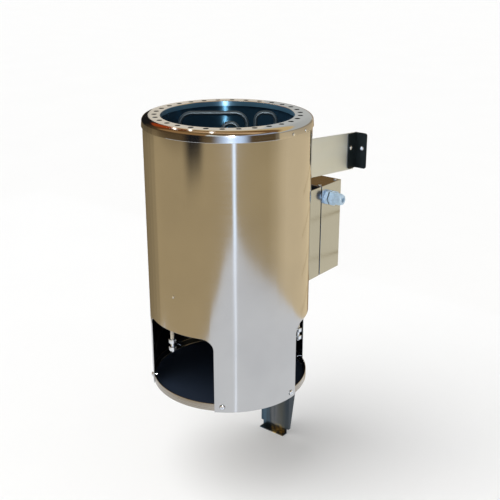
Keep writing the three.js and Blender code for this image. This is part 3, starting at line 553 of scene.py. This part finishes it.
liner_low, liner_high = corners("inner_liner")
LINER = (liner_high.x - liner_low.x) / 2
liner_profile = [
    (LINER, liner_low.z), (LINER, liner_high.z), (LINER - 1.5 * MM, liner_high.z),
    (LINER - 1.5 * MM, liner_low.z + 4 * MM),
    *arc(LINER - 4 * MM, liner_low.z + 4 * MM, 2.5 * MM, 2.5 * MM, 0, -90, 5)[1:],
    (LINER - 11.5 * MM, liner_low.z + 1.5 * MM), (LINER - 11.5 * MM, liner_low.z),
]
liner = new_object("liner_wall", lathe("liner_wall", liner_profile, 160))
finish(liner, dark_liner, replaced=["inner_liner"])


def leg_columns(index):
    """The two upright centre lines of a heating element, read from its nuts."""
    pair = []
    for nut in (2 * index + 1, 2 * index + 2):
        low, high = corners(f"element_nut_{nut}")
        pair.append(Vector(((low.x + high.x) / 2, (low.y + high.y) / 2, 0)))
    return pair


for index, bend in enumerate((24 * MM, 16 * MM, 13 * MM)):
    name = f"heating_element_{index + 1}"
    low, high = corners(name)
    start, end = leg_columns(index)
    along = (end - start).normalized()
    top = high.z - 4 * MM
    path = [start + Vector((0, 0, low.z)), start + Vector((0, 0, top - bend - 60 * MM))]
    for step in range(15):
        angle = math.radians(180 - 90 * step / 14)
        path.append(start + along * (bend + bend * math.cos(angle)) + Vector((0, 0, top - bend + bend * math.sin(angle))))
    for step in range(15):
        angle = math.radians(90 - 90 * step / 14)
        path.append(end + along * (-bend + bend * math.cos(angle)) + Vector((0, 0, top - bend + bend * math.sin(angle))))
    path += [end + Vector((0, 0, top - bend - 60 * MM)), end + Vector((0, 0, low.z))]
    rod = new_object(f"element_rod_{index + 1}", tube(f"element_rod_{index + 1}", path, 4 * MM))
    finish(rod, element_steel, replaced=[name])


# Bottom pan: bright band outside; inside, its floor and wall painted dark as shade

pan_low, pan_high = corners("bottom_pan")
PAN = (pan_high.x - pan_low.x) / 2
pan_profile = [
    (20 * MM, pan_low.z), *arc(PAN - 2 * MM, pan_low.z + 2 * MM, 2 * MM, 2 * MM, -90, 0, 6),
    *arc(PAN - 0.8 * MM, pan_high.z - 0.8 * MM, 0.8 * MM, 0.8 * MM, 0, 180, 8),
    *arc(PAN - 4.1 * MM, pan_low.z + 4 * MM, 2.5 * MM, 2.5 * MM, 0, -90, 5), (20 * MM, pan_low.z + 1.5 * MM),
]
pan_mesh = lathe("pan_tray", pan_profile, 200, closed=False)
made = bmesh.new()
made.from_mesh(pan_mesh)
bmesh.ops.holes_fill(made, edges=[edge for edge in made.edges if edge.is_boundary], sides=0)
bmesh.ops.recalc_face_normals(made, faces=made.faces)
made.to_mesh(pan_mesh)
made.free()
pan = new_object("pan_tray", pan_mesh)
finish(pan, pan_steel, replaced=["bottom_pan"])
pan.data.materials.append(dark_floor)
pan.data.materials.append(inside_steel)
for polygon in pan.data.polygons:
    middle = polygon.center - AXIS
    reach = math.hypot(middle.x, middle.y)
    if polygon.normal.z > 0.97 and reach < PAN - 3 * MM:
        polygon.material_index = 1
    elif polygon.normal.x * middle.x + polygon.normal.y * middle.y < -0.9 * reach and middle.z < pan_high.z - 1 * MM:
        polygon.material_index = 2


# Fasteners with a cross recess, each screw head with a flat ring of painted contact shade round it

def screw_mesh(name, head, rise, shank, length, recess):
    profile = [(0.0001 * MM, -length), (shank, -length), (shank, 0.02 * MM)]
    if recess:
        # the flat ring just outside the head, which takes the painted contact shade
        profile += [(head + 0.9 * MM, 0.02 * MM), (head + 0.9 * MM, 0.10 * MM)]
    profile += [(head, 0.10 * MM)]
    profile += [(head, rise * 0.4)]
    profile += [(head * math.cos(math.radians(t)), rise * (0.4 + 0.6 * math.sin(math.radians(t)))) for t in range(10, 90, 10)]
    profile += [(0.0001 * MM, rise)]

    def place(heading, radius, height):
        angle = math.radians(heading)
        return Vector((radius * math.sin(angle), -radius * math.cos(angle), height))

    obj = new_object(name, merged(lathe(name, profile, 28, closed=False, place=place), 2e-6))
    if recess:
        points, faces = [], []
        for turn in (0, 90):
            arm, width = head * 0.55, head * 0.085
            for x, y, z in ((-arm, -width, 0.35), (arm, -width, 0.35), (arm, width, 0.35), (-arm, width, 0.35),
                            (-arm, -width, 1.2), (arm, -width, 1.2), (arm, width, 1.2), (-arm, width, 1.2)):
                lift = 0 if turn == 0 else 1e-6
                points.append(Matrix.Rotation(math.radians(turn), 3, "Z") @ Vector((x, y, z * rise + lift)))
            b = len(points) - 8
            faces += [(b + 3, b + 2, b + 1, b), (b + 4, b + 5, b + 6, b + 7)]
            faces += [(b + i, b + (i + 1) % 4, b + 4 + (i + 1) % 4, b + 4 + i) for i in range(4)]
        for half in (0, 1):
            part = mesh_from("recess", points[half * 8:half * 8 + 8],
                             [tuple(i - half * 8 for i in face) for face in faces[half * 6:half * 6 + 6]])
            cut_away(obj, new_object("recess", part))
    mesh = obj.data
    bpy.data.objects.remove(obj)
    return mesh


PAN_HEAD = screw_mesh("pan_head", 4.6 * MM, 2.8 * MM, 1.9 * MM, 9 * MM, True)
COVER_HEAD = screw_mesh("cover_head", 3.6 * MM, 2.2 * MM, 1.8 * MM, 7 * MM, True)
ARM_HEAD = screw_mesh("arm_head", 4.6 * MM, 3.0 * MM, 2.5 * MM, 10 * MM, True)
WALL_HEAD = screw_mesh("wall_head", 4.6 * MM, 2.6 * MM, 2.3 * MM, 2.3 * MM, True)
RIVET_HEAD = screw_mesh("rivet_head", 2.8 * MM, 0.7 * MM, 1.6 * MM, 5.5 * MM, False)


def set_screw(node, mesh, direction, head_end, body="heater", spin=0.0):
    """A screw over its CAD node: head_end is how far the head's top stands along the direction."""
    direction = Vector(direction).normalized()
    points = [NODES[node].data.vertices[i].co for i in range(len(NODES[node].data.vertices))]
    center = sum(points, Vector()) / len(points)
    low, high = corners(node)
    middle = (low + high) / 2
    reach = max((p - middle).dot(direction) for p in points)
    side = middle + direction * reach
    across = [p for p in points]
    base = sum(across, Vector()) / len(across)
    axis_point = base - direction * (base - side).dot(direction)
    obj = new_object(f"{node}_detail", mesh)
    turn = Vector((0, 0, 1)).rotation_difference(direction).to_matrix().to_4x4()
    obj.matrix_world = Matrix.Translation(axis_point - direction * head_end) @ turn @ Matrix.Rotation(spin, 4, "Z")
    bpy.context.view_layer.update()
    obj.data.transform(Matrix.Identity(4))
    finish(obj, zinc, body, [node], angle=40)
    obj.data.materials.append(painted_screw_shade)
    # painted contact shade: the flat ring round a screw head takes the dark material
    widest = max(vertex.co.xy.length for vertex in mesh.vertices)
    for polygon in mesh.polygons:
        shade_ring = polygon.center.xy.length > widest - 0.8 * MM and polygon.center.z < 0.2 * MM
        polygon.material_index = int(shade_ring and mesh != RIVET_HEAD)


strip_screws = [148.5, 205.5, 265, -41.5, 34.5, 88.5]
for index, heading in enumerate(strip_screws):
    set_screw(f"pan_screw_{index + 1}", PAN_HEAD, outward(heading), 2.8 * MM, spin=0.4 + index)
for index, heading in enumerate((86, 100.5)):
    set_screw(f"ring_rivet_{index + 1}", RIVET_HEAD, outward(heading), 0.7 * MM)
set_screw("front_rivet", RIVET_HEAD, outward(-1), 0.7 * MM)
for group in ("leg", "bracket", "mount"):
    for index in (1, 2):
        set_screw(f"{group}_screw_{index}", PAN_HEAD, (0, 1, 0), 2.8 * MM, spin=0.3 * index)
for index in range(4):
    set_screw(f"cover_screw_{index + 1}", COVER_HEAD, (0, 0, 1), 2.2 * MM, "cover", 0.5 * index)
for side, sign in (("left", -1), ("right", 1)):
    set_screw(f"angle_screw_{side}", ARM_HEAD, (sign, 0, 0), 3.0 * MM, spin=0.2)
    set_screw(f"wall_screw_{side}", WALL_HEAD, (0, -1, 0), 2.6 * MM, spin=0.5)


# CAD nodes that keep their own shape: welded, edges rounded, new materials

def dress(node, material, edge, angle=35, segments=3):
    obj = NODES[node]
    obj.data.materials.clear()
    obj.data.materials.append(material)
    weld = obj.modifiers.new("weld", "WELD")
    weld.merge_threshold = 0.00001
    if edge:
        round_edges(obj, edge, angle, segments)
    normals = obj.modifiers.new("flat_faces", "WEIGHTED_NORMAL")
    normals.keep_sharp = True
    smooth(obj.data, angle)


dress("upper_bracket", arm_steel, 0.6 * MM)
for node in ("box_mount", "box_base"):
    dress(node, plate_steel, 0.6 * MM)
dress("box_cover", plate_steel, 0.7 * MM)
dress("support_leg", leg_painted_sheen, 0.7 * MM)
for node in ("wall_angle_left", "wall_angle_right"):
    dress(node, black_paint, 0.7 * MM)
dress("element_plate", dark_liner, 0.3 * MM)
dress("stone_grate", grate_steel, 0.6 * MM)
dress("terminal_block", block_plastic, 0.6 * MM)
dress("gland_seal", rubber, 0.4 * MM)
dress("gland_locknut", polyamide, 0.5 * MM)
dress("gland_body", gap_shaded_polyamide, 0.6 * MM)
dress("gland_dome_nut", gap_shaded_polyamide, 0.8 * MM)
for node in ("gland_dome_nut", "gland_seal"):
    NODES[node].visible_glossy = False
for index in (1, 2, 3):
    dress(f"terminal_post_{index}", zinc, 0.3 * MM)
    dress(f"post_insulator_{index}", ceramic, 0.8 * MM)
    dress(f"post_nut_{index}", zinc, 0.6 * MM)
for index in range(6):
    dress(f"element_nut_{index + 1}", zinc, 0.5 * MM)


# Stage: pale floor, reflecting cards round the heater and soft lamps

CARD_HEIGHT = 2.2


def glow(name, color, level=1.0, steps=(), soft=0.0):
    """A glowing material; steps are (height, height, colour) changes going up, soft is a faded share of its sides."""
    material = bpy.data.materials.new(name)
    material.use_nodes = True
    tree = material.node_tree
    tree.nodes.clear()
    output = tree.nodes.new("ShaderNodeOutputMaterial")
    emission = tree.nodes.new("ShaderNodeEmission")
    emission.inputs["Strength"].default_value = level
    emission.inputs["Color"].default_value = (*color, 1)
    if steps:
        place = tree.nodes.new("ShaderNodeNewGeometry")
        split = tree.nodes.new("ShaderNodeSeparateXYZ")
        scale = tree.nodes.new("ShaderNodeMapRange")
        scale.inputs["From Max"].default_value = CARD_HEIGHT
        ramp = tree.nodes.new("ShaderNodeValToRGB").color_ramp
        ramp.elements.remove(ramp.elements[1])
        ramp.elements[0].position = 0
        ramp.elements[0].color = (*color, 1)
        before = color
        for start, end, after in steps:
            ramp.elements.new(start / CARD_HEIGHT).color = (*before, 1)
            ramp.elements.new(end / CARD_HEIGHT).color = (*after, 1)
            before = after
        mixer = [node for node in tree.nodes if node.type == "VALTORGB"][0]
        tree.links.new(place.outputs["Position"], split.inputs["Vector"])
        tree.links.new(split.outputs["Z"], scale.inputs["Value"])
        tree.links.new(scale.outputs["Result"], mixer.inputs["Fac"])
        tree.links.new(mixer.outputs["Color"], emission.inputs["Color"])
    if soft:
        place = tree.nodes.new("ShaderNodeUVMap")
        split = tree.nodes.new("ShaderNodeSeparateXYZ")
        fold = tree.nodes.new("ShaderNodeMath")
        fold.operation = "PINGPONG"
        fold.inputs[1].default_value = 0.5
        fade = tree.nodes.new("ShaderNodeMapRange")
        fade.interpolation_type = "SMOOTHSTEP"
        fade.inputs["From Max"].default_value = soft
        clear = tree.nodes.new("ShaderNodeBsdfTransparent")
        both = tree.nodes.new("ShaderNodeMixShader")
        tree.links.new(place.outputs["UV"], split.inputs["Vector"])
        tree.links.new(split.outputs["X"], fold.inputs[0])
        tree.links.new(fold.outputs["Value"], fade.inputs["Value"])
        tree.links.new(fade.outputs["Result"], both.inputs["Fac"])
        tree.links.new(clear.outputs["BSDF"], both.inputs[1])
        tree.links.new(emission.outputs["Emission"], both.inputs[2])
        tree.links.new(both.outputs["Shader"], output.inputs["Surface"])
    else:
        tree.links.new(emission.outputs["Emission"], output.inputs["Surface"])
    return material


def card(name, points, material):
    """A flat card that only shiny surfaces see."""
    uvs = [(0, 0), (1, 0), (1, 1), (0, 1)] if len(points) == 4 else None
    obj = new_object(name, mesh_from(name, points, [tuple(range(len(points)))], uvs))
    obj.data.materials.append(material)
    obj.visible_camera = False
    obj.visible_diffuse = False
    obj.visible_shadow = False
    return obj


def upright(name, a, b, material, low=0.0, high=CARD_HEIGHT):
    """An upright card between two plan points counted from the heater's axis."""
    (ax, ay), (bx, by) = a, b
    ay, by = ay + AXIS.y, by + AXIS.y
    return card(name, [(ax, ay, low), (bx, by, low), (bx, by, high), (ax, ay, high)], material)


def blend(first, second, share):
    return tuple(p + (q - p) * share for p, q in zip(first, second))


floor_mesh = mesh_from("floor", [(-40, -40, 0), (40, -40, 0), (40, 40, 0), (-40, 40, 0)], [(0, 1, 2, 3)])
floor = new_object("floor", floor_mesh)
floor_shader = Shader("floor_paint", (0.86, 0.86, 0.855), 0.0, 0.7)
floor_grain = floor_shader.noise(floor_shader.coordinates("Object", (1, 1, 1)), 3.0)
floor_shader.color(floor_shader.shade(floor_grain, (0.87, 0.87, 0.865), (0.85, 0.85, 0.845)))
floor.data.materials.append(floor_shader.material)

WALL = cad_box[1][1] + 2 * MM - AXIS.y
PINE = (0.57, 0.43, 0.23)
PINE_RIGHT = (0.55, 0.42, 0.225)
PINE_BACK = (0.87, 0.70, 0.44)
PINE_LEFT = (0.22, 0.165, 0.09)
PALE = (0.76, 0.69, 0.58)
SHADE = (0.095, 0.058, 0.026)
BROWN = (0.22, 0.11, 0.04)
RUST = (0.17, 0.06, 0.018)
GOLD = (0.75, 0.55, 0.27)
DUSK = (0.20, 0.12, 0.05)


def upper(band):
    return [(0.92, 1.02, band), (1.55, 1.70, DUSK)]


front_line = [(1.40, -1.22), (0.94, -1.276), (0.744, -1.234), (0.548, -1.14), (0.397, -1.074), (0.266, -0.998),
              (0.217, -0.906), (-0.1, -0.72), (-0.75, -0.45)]
front_white = glow("front_wall", PINE, 1.0, [(0.57, 0.68, SHADE), *upper((0.85, 0.90, 0.87))])
front_gold = glow("front_wall_left", PINE, 1.0, [(0.57, 0.68, SHADE), *upper((0.36, 0.20, 0.08))])
for index, (first, second) in enumerate(zip(front_line, front_line[1:])):
    upright(f"front_card_{index}", first, second, front_white if index < 6 else front_gold)
for index in range(6):
    ends = [blend((-0.75, -0.45), (-0.75, WALL), k / 6) for k in (index, index + 1)]
    low = blend(PINE, PINE_LEFT, (index / 5) ** 0.6)
    shade = blend(SHADE, (0.012, 0.012, 0.012), min(1, index / 3))
    steps = [(0.56, 0.68, shade), (1.12, 1.18, (0.40, 0.06, 0.012) if index > 2 else RUST), (1.46, 1.56, RUST)]
    upright(f"left_card_{index}", *ends, glow(f"left_wall_{index}", low, 1.0, steps))
right_line = [(1.40, -1.22), (1.395, -0.78), (1.402, -0.51), (1.389, -0.225), (1.32, 0.052), (1.203, 0.311), (1.17, WALL)]
right_points = [blend(first, second, k / 3) for first, second in zip(right_line, right_line[1:]) for k in range(3)]
right_points.append(right_line[-1])
for index, ends in enumerate(zip(right_points, right_points[1:])):
    share = min(1, max(0, ends[0][1] / 0.3))
    low = blend(PINE_RIGHT, PINE_BACK, 0.45 * share)
    shade = blend(SHADE, (0.32, 0.26, 0.18), max(0, share - 0.5) * 2)
    steps = [(0.50, 0.60, shade), *upper((0.46, 0.50, 0.60))]
    upright(f"right_card_{index}", *ends, glow(f"right_wall_{index}", low, 1.0, steps))


def above(start, end, pale=PALE):
    return [(start, end, pale), (1.02, 1.06, GOLD), (1.22, 1.36, BROWN)]


back_line = [(1.17, 0.0), (1.0, 0.056), (0.85, 0.105), (0.695, 0.156), (0.433, 0.218), (0.293, 0.227), (0.085, 0.24)]
for index, ((x0, z0), (x1, z1)) in enumerate(zip(back_line, back_line[1:])):
    low = blend(PINE_RIGHT, PINE_BACK, min(1, 0.55 + 0.15 * index))
    steps = [(0.66, 0.73, (0.34, 0.28, 0.20)), *above(0.78, 0.82, (0.56, 0.57, 0.55))]
    points = [(x0, AXIS.y + WALL, z0), (x1, AXIS.y + WALL, z1)]
    points += [(x, AXIS.y + WALL, CARD_HEIGHT) for x in (x1, x0)]
    card(f"back_card_{index}", points, glow(f"back_wall_{index}", low, 1.0, steps))
plank_line = glow("plank_line", (0.50, 0.37, 0.19))
for index in range(4):
    inner, outer = 0.312 + 0.097 * index, 0.238 + 0.097 * index
    points = [(0.09, inner), (0.24, outer), (0.24, outer + 0.005), (0.09, inner + 0.005)]
    card(f"plank_card_{index}", [(x, AXIS.y + WALL - 1 * MM, z) for x, z in points], plank_line)
back_left = glow("back_wall_left", PINE_LEFT, 1.0, above(0.72, 0.78))
upright("back_card_left", (-0.56, WALL), (-0.17, WALL), back_left)
back_corner = glow("back_corner", PINE_LEFT, 1.0, [(0.72, 0.78, (0.012, 0.012, 0.012)), (1.10, 1.16, (0.40, 0.06, 0.012)), (1.42, 1.5, BROWN)])
upright("back_card_corner", (-0.8, WALL), (-0.56, WALL), back_corner)
# the wall card behind the heater carries a painted shadow of the heater, darkest behind its middle
PINE_IN_SHADOW = (0.20, 0.11, 0.04)
middle_cards = ((0.085, 0.06, blend(PINE_BACK, PINE_IN_SHADOW, 0.35)), (0.06, 0.03, blend(PINE_BACK, PINE_IN_SHADOW, 0.7)),
                (0.03, -0.09, PINE_IN_SHADOW), (-0.09, -0.13, blend(PINE_IN_SHADOW, PINE_LEFT, 0.35)),
                (-0.13, -0.17, blend(PINE_IN_SHADOW, PINE_LEFT, 0.7)))
for index, (right, left, low) in enumerate(middle_cards):
    middle_glow = glow(f"back_shadow_{index}", low, 1.0, above(0.74, 0.80, (0.56, 0.57, 0.55)))
    upright(f"back_middle_{index}", (left, WALL), (right, WALL), middle_glow)
ceiling_corners = [(-2, -3, CARD_HEIGHT), (-2, 1, CARD_HEIGHT), (2, 1, CARD_HEIGHT), (2, -3, CARD_HEIGHT)]
card("ceiling_card", ceiling_corners, glow("ceiling", DUSK))
gold_corners = [(x, y, CARD_HEIGHT - 0.01) for x, y in ((-2, AXIS.y - 0.25), (-2, 1), (2, 1), (2, AXIS.y - 0.25))]
card("ceiling_card_back", gold_corners, glow("ceiling_back", (0.70, 0.46, 0.24)))
patch = glow("dark_patch", PINE, 1.0, [(0.47, 0.59, (0.012, 0.012, 0.014))], soft=0.36)
upright("dark_patch", (-0.20, -0.652), (0.21, -0.88), patch, 0.44, 0.92)
floor_corners = [(x, y, 0.001) for x, y in ((-2, -3), (2, -3), (2, 1), (-2, 1))]
card("floor_card", floor_corners, glow("floor_light", (0.90, 0.915, 0.935)))
STREAK = (0.85, 1.0, 1.2)
upright("streak_card", (1.185, -1.205), (1.325, -1.065), glow("streak", STREAK, 1.8, soft=0.5), 0.0, 0.60)
streak_line = Vector((math.sin(math.radians(47.5)), -math.cos(math.radians(47.5)), 0))
streak_side = Vector((-streak_line.y, streak_line.x, 0))
streak_start = around(43, RADIUS, 0)
streak_points = []
for reach, half in ((0.30, 0.020), (1.62, 0.105)):
    streak_points += [streak_start + streak_line * reach + streak_side * half * sign for sign in (-1, 1)]
streak_points = [streak_points[i] + Vector((0, 0, 0.002)) for i in (0, 1, 3, 2)]
card("streak_floor", streak_points, glow("streak_floor", (1.38, 1.46, 1.6), soft=0.5))
upright("window_card", (0.36, -1.04), (1.38, -0.50), glow("window", (0.80, 1.04, 1.41), soft=0.4), 0.60, 0.96)
lamp_glow = glow("lamp", (1.0, 0.95, 0.84), 3.2)
lamp_lines = (
    ((0.0075, -0.003, 0.008), ((-0.3585, 0.0565, 1.0507), (-0.3541, 0.0077, 1.0954), (-0.3478, -0.0591, 1.1392),
                               (-0.3407, -0.1314, 1.1702), (-0.3344, -0.1930, 1.1858))),
    ((0.0060, 0.0, 0.0045), ((-0.3079, 0.1046, 1.0279), (-0.2927, 0.0528, 1.0958), (-0.2715, -0.0187, 1.1607),
                             (-0.2482, -0.0968, 1.2081), (-0.2280, -0.1635, 1.2344))),
    ((0.0090, 0.0036, 0.002), ((-0.1713, 0.0033, 1.2001), (-0.1351, -0.0590, 1.2429), (-0.0867, -0.1421, 1.2798),
                               (-0.0352, -0.2302, 1.2982), (0.0074, -0.3031, 1.2987))))
for index, (half, line) in enumerate(lamp_lines):
    for part, ends in enumerate(zip(line, line[1:])):
        first, second = (Vector(end) for end in ends)
        side = Vector(half)
        corners_of_part = [first - side, second - side, second + side, first + side]
        card(f"lamp_card_{index}_{part}", corners_of_part, lamp_glow)


def lamp(name, place, target, size, power, shiny=False):
    data = bpy.data.lights.new(name, "AREA")
    data.shape = "RECTANGLE"
    data.size, data.size_y = size
    data.energy = power
    obj = new_object(name, data)
    obj.location = place
    obj.rotation_euler = (Vector(target) - Vector(place)).to_track_quat("-Z", "Y").to_euler()
    obj.visible_glossy = shiny
    return obj


CAMERA_PLACE = Vector((1.0261, AXIS.y - 1.2243, SKIRT_BOTTOM + 0.340))
flash = lamp("flash", CAMERA_PLACE + Vector((0.09, 0.07, 0.06)), (0, AXIS.y, 0.5), (0.09, 0.09), 45, True)
flash.visible_diffuse = False
sun_data = bpy.data.lights.new("sky", "SUN")
sun_data.energy = 2.0
sun_data.angle = math.radians(60)
sun = new_object("sky", sun_data)
sun.rotation_euler = Vector((0.35, 0.5, -1)).to_track_quat("-Z", "Y").to_euler()
sun.visible_glossy = False

world = bpy.data.worlds.new("studio")
bpy.context.scene.world = world
world.use_nodes = True
background = world.node_tree.nodes["Background"]
background.inputs["Color"].default_value = (1.0, 1.0, 1.0, 1)
ray = world.node_tree.nodes.new("ShaderNodeLightPath")
seen = world.node_tree.nodes.new("ShaderNodeMath")
seen.operation = "MAXIMUM"
level = world.node_tree.nodes.new("ShaderNodeMapRange")
level.inputs["To Min"].default_value = 0.6
level.inputs["To Max"].default_value = 1.0
world.node_tree.links.new(ray.outputs["Is Camera Ray"], seen.inputs[0])
world.node_tree.links.new(ray.outputs["Is Glossy Ray"], seen.inputs[1])
world.node_tree.links.new(seen.outputs["Value"], level.inputs["Value"])
world.node_tree.links.new(level.outputs["Result"], background.inputs["Strength"])


# Camera at the photograph's viewing angle

camera_data = bpy.data.cameras.new("camera")
camera_data.lens = 61.77
camera_data.sensor_width = 36
camera = new_object("camera", camera_data)
camera.location = CAMERA_PLACE
camera.rotation_euler = Vector((-0.5830, 0.7341, -0.3484)).to_track_quat("-Z", "Y").to_euler()
bpy.context.scene.camera = camera
bpy.context.scene.view_settings.view_transform = "Standard"
